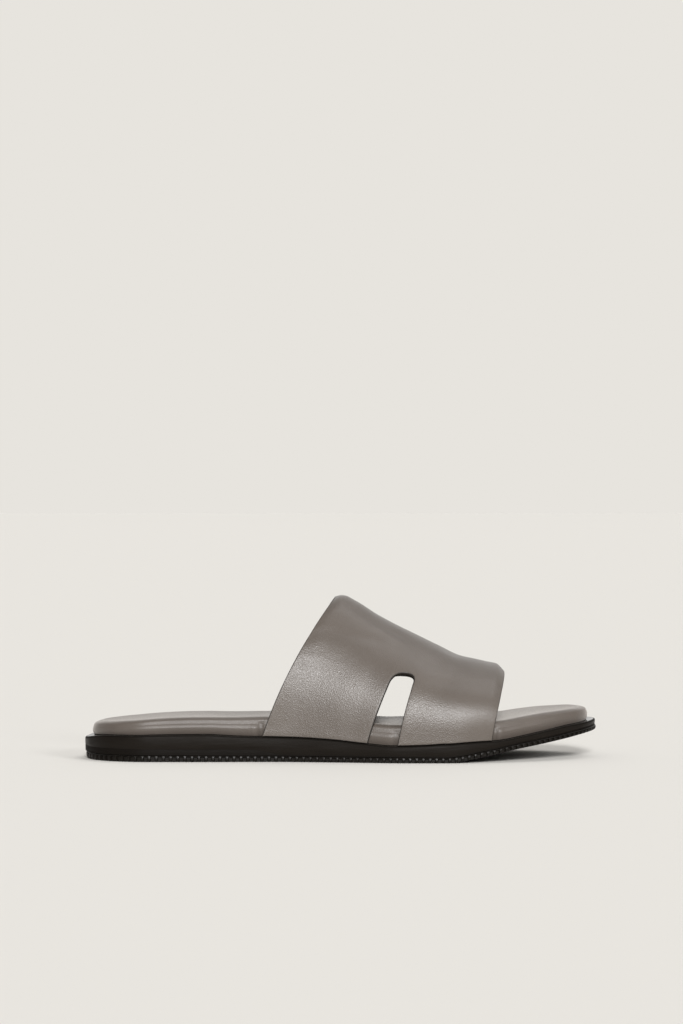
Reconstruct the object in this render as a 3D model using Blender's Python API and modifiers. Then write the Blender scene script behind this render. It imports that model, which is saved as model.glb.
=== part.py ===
"""Slide sandal for the right foot, in metres.

+X points to the toe, +Y to the inner (medial) side and +Z up. The origin lies on the floor, under the
middle of the outsole's box. The pieces are the ones a maker puts together: outsole, heel lift, midsole,
padded footbed and a one-piece strap upper.
"""

import math

import bmesh
import bpy
from mathutils import Matrix, Vector
from mathutils.geometry import delaunay_2d_cdt

# Sole, seen from above
LENGTH = 0.285
BALL_WIDTH = 0.103
WAIST_WIDTH = 0.0685
HEEL_WIDTH = 0.073

# Sole, seen from the side
TOE_SPRING = 0.0152
HEEL_THICK = 0.0148
BALL_THICK = 0.0095
TOE_THICK = 0.0066
OUTSOLE_HEEL_THICK = 0.0036
OUTSOLE_TOE_THICK = 0.0024
OUTSOLE_EDGE_RADIUS = 0.0012
OUTSOLE_PROUD = 0.0005
OUTSOLE_HEEL_TUCK = 0.0006
LIFT_HEIGHT = 0.0034
LIFT_LEVEL_LENGTH = 0.0920
LIFT_FEATHER_LENGTH = 0.0240
LIFT_TIP_THICK = 0.0005
MIDSOLE_EDGE_RADIUS = 0.0008

# Ribs of the outsole's edge
RIB_PITCH_HEEL = 0.0040
RIB_PITCH_TOE = 0.0034
RIB_GAP = 0.0022
RIB_DEPTH = 0.0012
RIB_BAND = 0.0005

# Footbed
FOOTBED_THICK = 0.0110
FOOTBED_ROLL = 0.0062
FOOTBED_DISH = 0.0010
FOOTBED_TOE_MARGIN = 0.0006

# Strap upper
UPPER_WALL = 0.0024
UPPER_MARGIN = 0.0010
UPPER_RIM_LENGTH = 0.1254
UPPER_CREST_LENGTH = 0.0946
UPPER_CREST_LEAD = 0.0244
UPPER_INNER_SET = 0.0055
UPPER_BULGE = 0.0020
INSTEP_HEIGHT = 0.0902
VAMP_HEIGHT = 0.0478
CREST_SHIFT = 0.0050
SLOT_WIDTH = 0.0164
SLOT_TOP_WIDTH = 0.0134
SLOT_HEIGHT = 0.0388
SLOT_ROUND = 0.0060
SLOT_LEAN = 0.0015
SLOT_OFFSET = 0.0029
SLOT_INNER_SHIFT = 0.0006
SLOT_INNER_WIDEN = 0.0034
SLOT_INNER_DROP = 0.0045

# Space left between two pieces that meet
CLEARANCE = 0.0003

# Places and forms that are shares: of the length, or from the strap's back edge to its front edge
FOOTBED_WALL_SHARE = 0.38
UPPER_CENTRE = 0.5677
BACK_FULLNESS = 2.4
FRONT_FULLNESS = 2.3
SLOT_FULLNESS = 2.6
LEAN_STRAIGHT = 0.64
LEAN_CURL = 2.1

# How finely the curves are divided
SOLE_STATIONS = 52
ROLL_STEPS = 5
BEVEL_STEPS = 2
UPPER_GRID = 0.0066
SLOT_ARC_STEPS = 10
OUTLINE_SAMPLES = 1200

LATERAL, MEDIAL = -1, 1

# Outline of the sole, a row for each section: place as a share of the length, the width that drives the
# row, and how far the outer and the inner edge lie from the foot's line, as shares of that width
OUTLINE = (
    # along, width, lateral, medial
    (0.000, HEEL_WIDTH, 0.082, -0.082),
    (0.017, HEEL_WIDTH, 0.333, 0.168),
    (0.064, HEEL_WIDTH, 0.515, 0.351),
    (0.128, HEEL_WIDTH, 0.582, 0.418),
    (0.237, HEEL_WIDTH, 0.582, 0.412),
    (0.370, WAIST_WIDTH, 0.606, 0.394),
    (0.500, BALL_WIDTH, 0.445, 0.320),
    (0.623, BALL_WIDTH, 0.496, 0.437),
    (0.710, BALL_WIDTH, 0.496, 0.494),
    (0.791, BALL_WIDTH, 0.466, 0.500),
    (0.881, BALL_WIDTH, 0.350, 0.460),
    (0.929, BALL_WIDTH, 0.262, 0.412),
    (0.973, BALL_WIDTH, 0.155, 0.335),
    (1.000, BALL_WIDTH, -0.078, 0.078),
)

# Side of the sole, a row for each section: place, lift of the underside as a share of the toe spring,
# the thickness that drives the row and the share of it
SOLE_SIDE = (
    # along, lift, thickness, share
    (0.000, 0.04, HEEL_THICK, 0.757),
    (0.020, 0.00, HEEL_THICK, 0.892),
    (0.050, 0.00, HEEL_THICK, 0.953),
    (0.100, 0.00, HEEL_THICK, 0.960),
    (0.160, 0.00, HEEL_THICK, 0.987),
    (0.240, 0.00, HEEL_THICK, 1.000),
    (0.300, 0.00, HEEL_THICK, 0.943),
    (0.420, 0.00, HEEL_THICK, 0.888),
    (0.482, 0.00, HEEL_THICK, 0.818),
    (0.542, 0.00, BALL_THICK, 1.09),
    (0.600, 0.00, BALL_THICK, 0.96),
    (0.660, 0.00, BALL_THICK, 1.00),
    (0.700, 0.00, BALL_THICK, 1.07),
    (0.735, 0.08, BALL_THICK, 1.01),
    (0.763, 0.19, BALL_THICK, 0.89),
    (0.800, 0.325, TOE_THICK, 1.055),
    (0.826, 0.43, TOE_THICK, 0.97),
    (0.881, 0.605, TOE_THICK, 1.00),
    (0.929, 0.765, TOE_THICK, 1.03),
    (0.980, 0.95, TOE_THICK, 0.91),
    (1.000, 1.00, TOE_THICK, 0.92),
)

# Footbed's height above the sole as a share of its full thickness
FOOTBED_SIDE = (
    # along, height
    (0.000, 0.610),
    (0.050, 0.632),
    (0.086, 0.692),
    (0.149, 0.784),
    (0.205, 0.827),
    (0.250, 0.835),
    (0.300, 0.903),
    (0.350, 0.958),
    (0.420, 0.985),
    (0.540, 1.000),
    (0.700, 0.970),
    (0.780, 0.930),
    (0.840, 0.912),
    (0.881, 0.873),
    (0.930, 0.750),
    (1.000, 0.620),
)

# Crest of the strap from its back edge to its front edge: share of the drop from instep to vamp
CREST_LINE = (
    # along, height
    (0.000, 1.000),
    (0.035, 0.998),
    (0.070, 0.984),
    (0.103, 0.945),
    (0.150, 0.886),
    (0.245, 0.748),
    (0.364, 0.604),
    (0.482, 0.476),
    (0.600, 0.347),
    (0.719, 0.229),
    (0.837, 0.153),
    (0.896, 0.120),
    (0.956, 0.092),
    (0.985, 0.035),
    (1.000, 0.000),
)


def smooth_curve(keys, values, at):
    """Value at a key on a smooth curve through the rows, with no overshoot between two rows."""
    at = min(max(at, keys[0]), keys[-1])
    i = 0
    while i < len(keys) - 2 and at > keys[i + 1]:
        i += 1

    def slope(j):
        return (values[j + 1] - values[j]) / (keys[j + 1] - keys[j])

    def tangent(j):
        if j == 0:
            return slope(0)
        if j == len(keys) - 1:
            return slope(j - 1)
        before, after = slope(j - 1), slope(j)
        if before * after <= 0.0:
            return 0.0
        return 2.0 * before * after / (before + after)

    span = keys[i + 1] - keys[i]
    t = (at - keys[i]) / span
    start = (1 + 2 * t) * (1 - t) ** 2 * values[i] + t * (1 - t) ** 2 * span * tangent(i)
    end = t * t * (3 - 2 * t) * values[i + 1] + t * t * (t - 1) * span * tangent(i + 1)
    return start + end


def column(rows, pick):
    return [pick(row) for row in rows]


def turn_of(share):
    """Angle that runs from 0 at the heel tip to pi at the toe tip, so that both ends come out round."""
    return math.acos(1.0 - 2.0 * min(max(share, 0.0), 1.0))


def share_of(turn):
    return (1.0 - math.cos(turn)) / 2.0


OUTLINE_TURNS = column(OUTLINE, lambda row: turn_of(row[0]))
EDGES = {
    LATERAL: column(OUTLINE, lambda row: -row[1] * row[2]),
    MEDIAL: column(OUTLINE, lambda row: row[1] * row[3]),
}


def raw_edge(turn, side):
    return smooth_curve(OUTLINE_TURNS, EDGES[side], turn)


def across_middle():
    """Middle of the outline's width, which the model is centred on."""
    turns = [math.pi * i / OUTLINE_SAMPLES for i in range(OUTLINE_SAMPLES + 1)]
    low = min(raw_edge(turn, LATERAL) for turn in turns)
    high = max(raw_edge(turn, MEDIAL) for turn in turns)
    return (low + high) / 2.0


MIDDLE = across_middle()


def along_of(x):
    return x / LENGTH + 0.5


def edge_point(turn, side, inset=0.0):
    """Point of the sole's edge at a turn, moved inwards across the edge by the inset."""
    step = math.pi / OUTLINE_SAMPLES

    def place(at):
        flipped = -side if at < 0.0 or at > math.pi else side
        inner = -at if at < 0.0 else (2.0 * math.pi - at if at > math.pi else at)
        return Vector(((share_of(inner) - 0.5) * LENGTH, raw_edge(inner, flipped) - MIDDLE))

    tangent = (place(turn + step) - place(turn - step)).normalized()
    inward = Vector((side * tangent.y, -side * tangent.x))
    return place(turn) + inward * inset


def sole_bottom(x):
    lift = smooth_curve(column(SOLE_SIDE, lambda r: r[0]), column(SOLE_SIDE, lambda r: r[1]), along_of(x))
    return TOE_SPRING * lift


def sole_top(x):
    thickness = smooth_curve(
        column(SOLE_SIDE, lambda r: r[0]), column(SOLE_SIDE, lambda r: r[2] * r[3]), along_of(x)
    )
    return sole_bottom(x) + thickness


def outsole_thick(x):
    return OUTSOLE_HEEL_THICK + (OUTSOLE_TOE_THICK - OUTSOLE_HEEL_THICK) * along_of(x)


def sole_inset(turn):
    """Distance of the midsole's and the lift's wall from the outline: the tread stands proud at the toe."""
    return OUTSOLE_PROUD * share_of(turn)


def tread_inset(turn):
    """Distance of the outsole's wall from the outline: it tucks in under the heel."""
    return OUTSOLE_HEEL_TUCK * (1.0 - share_of(turn))


def lift_height(x):
    """Height of the heel lift: level from the heel tip, then a feather that runs out at the waist."""
    past = (x + LENGTH / 2.0 - LIFT_LEVEL_LENGTH) / LIFT_FEATHER_LENGTH
    past = min(max(past, 0.0), 1.0)
    return LIFT_HEIGHT * (1.0 - past * past * (3.0 - 2.0 * past))


def footbed_height(x):
    share = smooth_curve(column(FOOTBED_SIDE, lambda r: r[0]), column(FOOTBED_SIDE, lambda r: r[1]), along_of(x))
    return FOOTBED_THICK * share


def stations(end_share=1.0):
    """Turns of the sections from the heel tip to a share of the length."""
    end = turn_of(end_share)
    count = max(3, round(SOLE_STATIONS * end / math.pi))
    return [end * i / count for i in range(count + 1)]


def ring(turns, inset, height):
    """Closed row of points round the sole: heel tip, outer edge to the front, inner edge back again."""
    has_toe_tip = turns[-1] > math.pi - 1e-9
    outer = [edge_point(turn, LATERAL, inset(turn)) for turn in turns]
    inner = [edge_point(turn, MEDIAL, inset(turn)) for turn in reversed(turns[1:])]
    if has_toe_tip:
        inner = inner[1:]
    return [Vector((p.x, p.y, height(p.x))) for p in outer + inner]


def add_cap(mesh, row, upward, dish=0.0):
    """Closes a row across, from each outer point to the inner point opposite."""
    count = len(row)
    middles = {}

    def middle(i, j):
        if i == j:
            return row[i]
        if i not in middles:
            point = (row[i].co + row[j].co) / 2.0
            half = (row[i].co - row[j].co).length / 2.0
            point.z -= dish * min(1.0, half / (BALL_WIDTH / 4.0))
            middles[i] = mesh.verts.new(point)
        return middles[i]

    for i in range(count):
        a, b, c, d = i, i + 1, count - i - 1, (count - i) % count
        if b > c:
            break
        if dish:
            halves = [
                [row[a], row[b], middle(b, c), middle(a, d)],
                [middle(a, d), middle(b, c), row[c], row[d]],
            ]
        else:
            halves = [[row[a], row[b], row[c], row[d]]]
        for corners in halves:
            unique = [v for k, v in enumerate(corners) if v not in corners[:k]]
            if len(unique) > 2:
                mesh.faces.new(unique if upward else unique[::-1])


def stacked_solid(name, rings, material, dish=0.0):
    """Closed solid from rings of equal count, stacked upwards."""
    mesh = bmesh.new()
    rows = [[mesh.verts.new(point) for point in points] for points in rings]
    for lower, upper in zip(rows, rows[1:]):
        for i in range(len(lower)):
            j = (i + 1) % len(lower)
            mesh.faces.new((lower[i], lower[j], upper[j], upper[i]))
    add_cap(mesh, rows[0], upward=False)
    add_cap(mesh, rows[-1], upward=True, dish=dish)
    bmesh.ops.recalc_face_normals(mesh, faces=mesh.faces)
    return add_object(name, mesh, material)


def add_object(name, mesh, material, home="Slide sandal"):
    data = bpy.data.meshes.new(name)
    mesh.to_mesh(data)
    mesh.free()
    data.materials.append(material)
    thing = bpy.data.objects.new(name, data)
    collection(home).objects.link(thing)
    return thing


def collection(name):
    found = bpy.data.collections.get(name)
    if found is None:
        found = bpy.data.collections.new(name)
        bpy.context.scene.collection.children.link(found)
    return found


def surface(name, colour, roughness, metallic=0.0):
    material = bpy.data.materials.new(name)
    material.use_nodes = True
    shader = material.node_tree.nodes["Principled BSDF"]
    shader.inputs["Base Color"].default_value = (*colour, 1.0)
    shader.inputs["Roughness"].default_value = roughness
    shader.inputs["Metallic"].default_value = metallic
    material.diffuse_color = (*colour, 1.0)
    return material


def rib_places():
    """Points on the outsole's edge, one for each gap between ribs, with the way outwards at each."""
    count = OUTLINE_SAMPLES
    loop = [(math.pi * i / count, LATERAL) for i in range(count)]
    loop += [(math.pi * (count - i) / count, MEDIAL) for i in range(count)]
    points = [edge_point(turn, side, tread_inset(turn)) for turn, side in loop]
    phases = [0.0]
    for here, there in zip(points, points[1:] + points[:1]):
        share = along_of(here.x)
        pitch = RIB_PITCH_HEEL + (RIB_PITCH_TOE - RIB_PITCH_HEEL) * share
        phases.append(phases[-1] + (there - here).length / pitch)
    gaps = round(phases[-1])
    places = []
    for i, here in enumerate(points):
        if math.floor(phases[i + 1] * gaps / phases[-1]) > math.floor(phases[i] * gaps / phases[-1]):
            ahead = points[(i + 1) % len(points)] - here
            places.append((here, math.atan2(ahead.y, ahead.x)))
    return places


def make_outsole(rubber):
    """Tread sheet along the whole underside, rounded below, with ribs cut round its edge."""
    turns = stations()
    rings = []
    for step in range(BEVEL_STEPS + 1):
        angle = math.pi / 2.0 * step / BEVEL_STEPS
        inset = OUTSOLE_EDGE_RADIUS * (1.0 - math.sin(angle))
        rise = OUTSOLE_EDGE_RADIUS * (1.0 - math.cos(angle))
        rings.append(
            ring(turns, lambda turn, i=inset: tread_inset(turn) + i, lambda x, r=rise: sole_bottom(x) + r)
        )
    rings.append(ring(turns, tread_inset, lambda x: sole_bottom(x) + outsole_thick(x)))
    outsole = stacked_solid("outsole", rings, rubber)
    mesh = bmesh.new()
    for point, heading in rib_places():
        place = Matrix.Translation((point.x, point.y, sole_bottom(point.x))) @ Matrix.Rotation(heading, 4, "Z")
        height = outsole_thick(point.x) - RIB_BAND
        size = Matrix.Diagonal((RIB_GAP, 2.0 * RIB_DEPTH, 2.0 * height, 1.0))
        bmesh.ops.create_cube(mesh, size=1.0, matrix=place @ size)
    cutter = add_object("rib_cutter", mesh, rubber, home="Cutters")
    cutter.hide_render = True
    cutter.display_type = "WIRE"
    cut = outsole.modifiers.new("Ribs", "BOOLEAN")
    cut.operation = "DIFFERENCE"
    cut.solver = "EXACT"
    cut.object = cutter
    return outsole


def make_heel_lift(rubber):
    """Wedge between outsole and midsole that ends in a feather at the waist."""
    end = LIFT_LEVEL_LENGTH + LIFT_FEATHER_LENGTH
    while lift_height(end - LENGTH / 2.0) < LIFT_TIP_THICK:
        end -= LIFT_TIP_THICK

    def bottom(x):
        return sole_bottom(x) + outsole_thick(x) + CLEARANCE

    def top(x):
        return bottom(x) + lift_height(x)

    turns = stations(end / LENGTH)
    return stacked_solid("heel_lift", [ring(turns, sole_inset, bottom), ring(turns, sole_inset, top)], rubber)


def make_midsole(rubber):
    """Body of the sole, from the outsole and the lift to the rim that carries strap and footbed."""

    def bottom(x):
        lift = lift_height(x)
        seat = lift + CLEARANCE * min(1.0, lift / LIFT_TIP_THICK)
        return sole_bottom(x) + outsole_thick(x) + CLEARANCE + seat

    turns = stations()
    rings = [ring(turns, sole_inset, bottom)]
    for step in range(BEVEL_STEPS + 1):
        angle = math.pi / 2.0 * step / BEVEL_STEPS
        inset = MIDSOLE_EDGE_RADIUS * (1.0 - math.cos(angle))
        drop = MIDSOLE_EDGE_RADIUS * (1.0 - math.sin(angle))
        rings.append(
            ring(turns, lambda turn, i=inset: sole_inset(turn) + i, lambda x, d=drop: sole_top(x) - d)
        )
    return stacked_solid("midsole", rings, rubber)


def footbed_inset(turn):
    """Distance of the footbed's wall from the outline: inside the strap, and a little more at the toe."""
    toe = max(0.0, -math.cos(turn))
    return OUTSOLE_PROUD + UPPER_MARGIN + UPPER_WALL + CLEARANCE + FOOTBED_TOE_MARGIN * toe ** 8


def make_footbed(leather):
    """Padded footbed, its wall upright below and rolled over into a slightly dished top."""
    turns = stations()

    def bottom(x):
        return sole_top(x) + CLEARANCE

    rings = [ring(turns, footbed_inset, bottom)]
    for step in range(ROLL_STEPS + 1):
        angle = math.pi / 2.0 * step / ROLL_STEPS
        inward = FOOTBED_ROLL * (1.0 - math.cos(angle))
        rise = FOOTBED_WALL_SHARE + (1.0 - FOOTBED_WALL_SHARE) * math.sin(angle)
        rings.append(
            ring(
                turns,
                lambda turn, i=inward: footbed_inset(turn) + i,
                lambda x, r=rise: bottom(x) + footbed_height(x) * r,
            )
        )
    return stacked_solid("footbed", rings, leather, dish=FOOTBED_DISH)


def upper_point(along, around):
    """Outer face of the strap. along runs 0 to 1 from its back edge to its front edge, and around runs
    from -1 at the outer rim over 0 at the crest to 1 at the inner rim."""
    side = LATERAL if around < 0.0 else MEDIAL
    start = (UPPER_CENTRE - 0.5) * LENGTH - UPPER_RIM_LENGTH / 2.0
    rim_x = start + UPPER_RIM_LENGTH * along
    if side == MEDIAL:
        rim_x += UPPER_INNER_SET * (1.0 - along)
    crest_x = start + (UPPER_RIM_LENGTH - UPPER_CREST_LENGTH) / 2.0 + UPPER_CREST_LEAD
    crest_x += UPPER_CREST_LENGTH * along
    rim = edge_point(turn_of(along_of(rim_x)), side, OUTSOLE_PROUD + UPPER_MARGIN)
    rim_z = sole_top(rim_x) + CLEARANCE
    drop = smooth_curve(column(CREST_LINE, lambda r: r[0]), column(CREST_LINE, lambda r: r[1]), along)
    crest_z = VAMP_HEIGHT + (INSTEP_HEIGHT - VAMP_HEIGHT) * drop
    fullness = BACK_FULLNESS + (FRONT_FULLNESS - BACK_FULLNESS) * along
    angle = max(0.0, 1.0 - abs(around)) * math.pi / 2.0
    up = math.sin(angle) ** (2.0 / fullness)
    out = max(0.0, math.cos(angle)) ** (2.0 / fullness)
    lean = LEAN_STRAIGHT * up + (1.0 - LEAN_STRAIGHT) * up ** LEAN_CURL
    bulge = UPPER_BULGE * 16.0 * (up * (1.0 - up)) ** 2
    return Vector(
        (
            rim_x + (crest_x - rim_x) * lean,
            CREST_SHIFT + (rim.y - CREST_SHIFT) * out + side * bulge,
            rim_z + (crest_z - rim_z) * up,
        )
    )


def around_at_height(along, height, side):
    """Place round the strap at a height above its rim."""
    rim_z = upper_point(along, side).z
    crest_z = upper_point(along, 0.0).z
    fullness = BACK_FULLNESS + (FRONT_FULLNESS - BACK_FULLNESS) * along
    up = max(0.0, height / (crest_z - rim_z)) ** (fullness / 2.0)
    return side * (1.0 - math.asin(min(1.0, up)) / (math.pi / 2.0))


def slot_edge(side):
    """Edge of the slot that parts rear leg and front leg, from the rim at the back, over the round top,
    to the rim at the front. Each row is a place along and around the strap. The inner slot is lower and
    wider and lies a little nearer to the toe."""
    drop, shift, widen = (SLOT_INNER_DROP, SLOT_INNER_SHIFT, SLOT_INNER_WIDEN) if side == MEDIAL else (0.0,) * 3
    straight = SLOT_HEIGHT - SLOT_ROUND - drop
    middle = 0.5 + (SLOT_OFFSET + shift) / UPPER_RIM_LENGTH
    foot_width, top_width = SLOT_WIDTH + widen, SLOT_TOP_WIDTH + widen
    outline = [(-foot_width / 2.0, 0.0)]
    rises = max(2, round(straight / UPPER_GRID))
    for i in range(1, rises + 1):
        share = i / rises
        half = (foot_width + (top_width - foot_width) * share) / 2.0
        outline.append((-half - SLOT_LEAN * share, straight * share))
    mirrored = [(-x - 2.0 * SLOT_LEAN * z / straight, z) for x, z in reversed(outline)]
    for i in range(1, SLOT_ARC_STEPS):
        angle = math.pi * i / SLOT_ARC_STEPS
        across = abs(math.cos(angle)) ** (2.0 / SLOT_FULLNESS)
        x = -math.copysign(across, math.cos(angle)) * top_width / 2.0 - SLOT_LEAN
        outline.append((x, straight + SLOT_ROUND * math.sin(angle) ** (2.0 / SLOT_FULLNESS)))
    edge = []
    for x, z in outline + mirrored:
        along = middle + x / UPPER_RIM_LENGTH
        edge.append((along, around_at_height(along, z, side)))
    return edge


def pattern_outline():
    """Outline of the flat strap pattern as places along and around it, with both slots."""
    half_girth = INSTEP_HEIGHT

    def line(start, end, length):
        steps = max(1, round(length / UPPER_GRID))
        return [
            (start[0] + (end[0] - start[0]) * i / steps, start[1] + (end[1] - start[1]) * i / steps)
            for i in range(steps)
        ]

    outer_slot = slot_edge(LATERAL)
    inner_slot = slot_edge(MEDIAL)[::-1]
    back_foot = outer_slot[0][0] * UPPER_RIM_LENGTH
    front_foot = (1.0 - outer_slot[-1][0]) * UPPER_RIM_LENGTH
    outline = line((0.0, LATERAL), outer_slot[0], back_foot) + outer_slot[:-1]
    outline += line(outer_slot[-1], (1.0, LATERAL), front_foot)
    outline += line((1.0, LATERAL), (1.0, MEDIAL), 2.0 * half_girth)
    outline += line((1.0, MEDIAL), inner_slot[0], front_foot) + inner_slot[:-1]
    outline += line(inner_slot[-1], (0.0, MEDIAL), back_foot)
    outline += line((0.0, MEDIAL), (0.0, LATERAL), 2.0 * half_girth)
    return outline


def make_upper(leather):
    """One hollow strap: a flat pattern bent over the last, then given its wall inwards."""
    width, girth = UPPER_CREST_LENGTH, INSTEP_HEIGHT
    outline = [Vector((along * width, around * girth)) for along, around in pattern_outline()]
    edges = [(i, (i + 1) % len(outline)) for i in range(len(outline))]
    columns = round(width / UPPER_GRID)
    rows = round(2.0 * girth / UPPER_GRID)
    inside = []
    for i in range(1, columns):
        for j in range(1, rows):
            shift = 0.5 * (j % 2)
            point = Vector((width * (i - 0.25 + shift) / columns, girth * (2.0 * j / rows - 1.0)))
            if min((point - other).length for other in outline) > 0.6 * UPPER_GRID:
                inside.append(point)
    flat, _, faces, _, _, _ = delaunay_2d_cdt(outline + inside, edges, [], 1, 1e-7)
    mesh = bmesh.new()
    verts = [mesh.verts.new(upper_point(p.x / width, p.y / girth)) for p in flat]
    for face in faces:
        mesh.faces.new([verts[i] for i in face])
    bmesh.ops.delete(mesh, geom=[v for v in mesh.verts if not v.link_faces], context="VERTS")
    upper = add_object("upper", mesh, leather)
    wall = upper.modifiers.new("Wall", "SOLIDIFY")
    wall.thickness = UPPER_WALL
    wall.offset = -1.0
    wall.use_even_offset = True
    wall.use_quality_normals = True
    return upper


def main():
    for thing in list(bpy.data.objects):
        bpy.data.objects.remove(thing, do_unlink=True)
    grey_leather = surface("strap leather", (0.216, 0.178, 0.153), 0.42)
    soft_leather = surface("footbed leather", (0.235, 0.197, 0.168), 0.48)
    black_rubber = surface("sole rubber", (0.014, 0.012, 0.010), 0.35)
    tread_rubber = surface("tread rubber", (0.010, 0.008, 0.007), 0.45)
    pieces = [
        make_outsole(tread_rubber),
        make_heel_lift(black_rubber),
        make_midsole(black_rubber),
        make_footbed(soft_leather),
        make_upper(grey_leather),
    ]
    for piece in pieces:
        piece.data.shade_smooth()
        piece.data.set_sharp_from_angle(angle=math.radians(35.0))


main()
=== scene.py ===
"""Looks of the slide sandal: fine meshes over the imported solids, materials, floor, light and camera.

Metres, in the same frame as the solids: +X to the toe, +Y to the inner side, +Z up, floor at zero.
"""

import math

import bpy
import numpy as np
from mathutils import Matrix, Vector
from mathutils.geometry import delaunay_2d_cdt


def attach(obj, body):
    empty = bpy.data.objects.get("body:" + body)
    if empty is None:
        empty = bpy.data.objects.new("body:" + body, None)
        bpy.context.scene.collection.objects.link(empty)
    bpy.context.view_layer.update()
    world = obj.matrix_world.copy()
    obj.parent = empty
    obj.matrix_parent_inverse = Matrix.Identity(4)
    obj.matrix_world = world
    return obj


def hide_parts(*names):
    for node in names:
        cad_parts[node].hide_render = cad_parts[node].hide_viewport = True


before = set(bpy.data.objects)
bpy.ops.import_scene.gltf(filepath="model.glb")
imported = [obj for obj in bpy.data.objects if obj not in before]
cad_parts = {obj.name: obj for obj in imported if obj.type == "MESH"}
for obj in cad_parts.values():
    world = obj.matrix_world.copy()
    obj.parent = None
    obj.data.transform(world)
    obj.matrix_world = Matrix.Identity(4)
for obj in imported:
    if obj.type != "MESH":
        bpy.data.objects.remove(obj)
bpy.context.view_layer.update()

# Driving sizes of the sole
LENGTH = 0.285
BALL_WIDTH = 0.103
WAIST_WIDTH = 0.0685
HEEL_WIDTH = 0.073
TOE_SPRING = 0.0152
HEEL_THICK = 0.0148
BALL_THICK = 0.0095
TOE_THICK = 0.0066
OUTSOLE_HEEL_THICK = 0.0036
OUTSOLE_TOE_THICK = 0.0024
OUTSOLE_EDGE_RADIUS = 0.0012
OUTSOLE_PROUD = 0.0005
OUTSOLE_HEEL_TUCK = 0.0006
LIFT_HEIGHT = 0.0034
LIFT_LEVEL_LENGTH = 0.0920
LIFT_FEATHER_LENGTH = 0.0240
MIDSOLE_EDGE_RADIUS = 0.0008
RIB_PITCH_HEEL = 0.0040
RIB_PITCH_TOE = 0.0034
RIB_GAP = 0.0022
RIB_DEPTH = 0.0012
RIB_BAND = 0.0005
RIB_FLANK = 0.05

# Line of the heel lift on the sole's side
LIFT_FOOT_INSET = 0.00012
LIFT_BAND_INSET = 0.00008
LIFT_LINE_DEPTH = 0.00016
LIFT_LINE_HALF = 0.00035
LIFT_LINE_LOWEST = 0.0008

# Footbed
FOOTBED_THICK = 0.0110
FOOTBED_DISH = 0.0010
FOOTBED_TOE_MARGIN = 0.0006
FOLD_HEEL_FADE = (0.03, 0.16)
FOLD_TOE_FADE = (0.84, 0.96)
GATHER_TOP_FADE = (0.45, 0.85)

# Strap upper
UPPER_WALL = 0.0024
UPPER_MARGIN = 0.0010
UPPER_RIM_LENGTH = 0.1254
UPPER_CREST_LENGTH = 0.0946
UPPER_CREST_LEAD = 0.0244
UPPER_INNER_SET = 0.0055
UPPER_BULGE = 0.0020
INSTEP_HEIGHT = 0.0902
VAMP_HEIGHT = 0.0478
CREST_SHIFT = 0.0050
SLOT_WIDTH = 0.0164
SLOT_TOP_WIDTH = 0.0134
SLOT_HEIGHT = 0.0388
SLOT_ROUND = 0.0060
SLOT_LEAN = 0.0015
SLOT_OFFSET = 0.0029
SLOT_INNER_SHIFT = 0.0006
SLOT_INNER_WIDEN = 0.0034
SLOT_INNER_DROP = 0.0045
CLEARANCE = 0.0003
UPPER_CENTRE = 0.5677
BACK_FULLNESS = 2.4
FRONT_FULLNESS = 2.3
SLOT_FULLNESS = 2.6
LEAN_STRAIGHT = 0.64
LEAN_CURL = 2.1
EDGE_RADIUS = 0.00045

# Fineness of the meshes. The pattern is meshed at its rough width and half girth, so that its
# triangles come out even. RIB_SAMPLES is even, so that the points across the tread pair up.
STRAP_GRID = 0.0015
STRAP_ROW_SHARE = 0.87
STRAP_GRID_MARGIN = 0.75
STRAP_EDGE_STEP = 0.0009
STRAP_PATTERN_WIDTH = 0.110
STRAP_PATTERN_GIRTH = 0.100
STRAP_ROUND_STEPS = 4
MERGE_DISTANCE = 1e-7
NORMAL_STEP = 1e-3
SOLE_STATIONS = 300
FOOTBED_STATIONS = 330
FOOTBED_ACROSS = 36
FOOTBED_LEVEL_STEPS = 4
MIDSOLE_EDGE_STEPS = 5
OUTSOLE_EDGE_STEPS = 4
RIB_SAMPLES = 12
OUTLINE_SAMPLES = 2400

# Camera, floor and surroundings
CAMERA_DISTANCE = 1.8
CAMERA_HEIGHT = 0.1365
CAMERA_LENS = 113.3
CAMERA_SENSOR = 36.0
CAMERA_REACH = 2000.0
FLOOR_REACH = 400.0
FLOOR_COLOUR = (0.748, 0.727, 0.688)
BACKGROUND = (0.799, 0.775, 0.730)

# The dome is darkest low on the camera's side and brightest high up behind the sandal
DOME_AXIS = (0.0, 0.97, 0.243)
DOME_STRENGTH = 0.50
DOME_STOPS = (
    # place from the dark end to the bright end, colour
    (0.10, (0.08, 0.078, 0.075)),
    (0.32, (0.20, 0.195, 0.19)),
    (0.50, (0.42, 0.415, 0.405)),
    (0.64, (0.52, 0.515, 0.50)),
    (0.86, (0.72, 0.71, 0.695)),
    (0.94, (1.30, 1.285, 1.26)),
    (1.00, (2.20, 2.18, 2.14)),
)

# Azimuth 0 comes from the camera's side, 90 from the toe's side
SUNS = (
    # name, strength, azimuth, elevation, angle
    ("key", 3.7, 2.0, 22.5, 14.0),
    ("top", 0.75, 110.0, 66.0, 40.0),
    ("fill", 0.15, -20.0, 50.0, 80.0),
    ("toe side", 0.85, 45.0, 22.0, 14.0),
)

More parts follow.
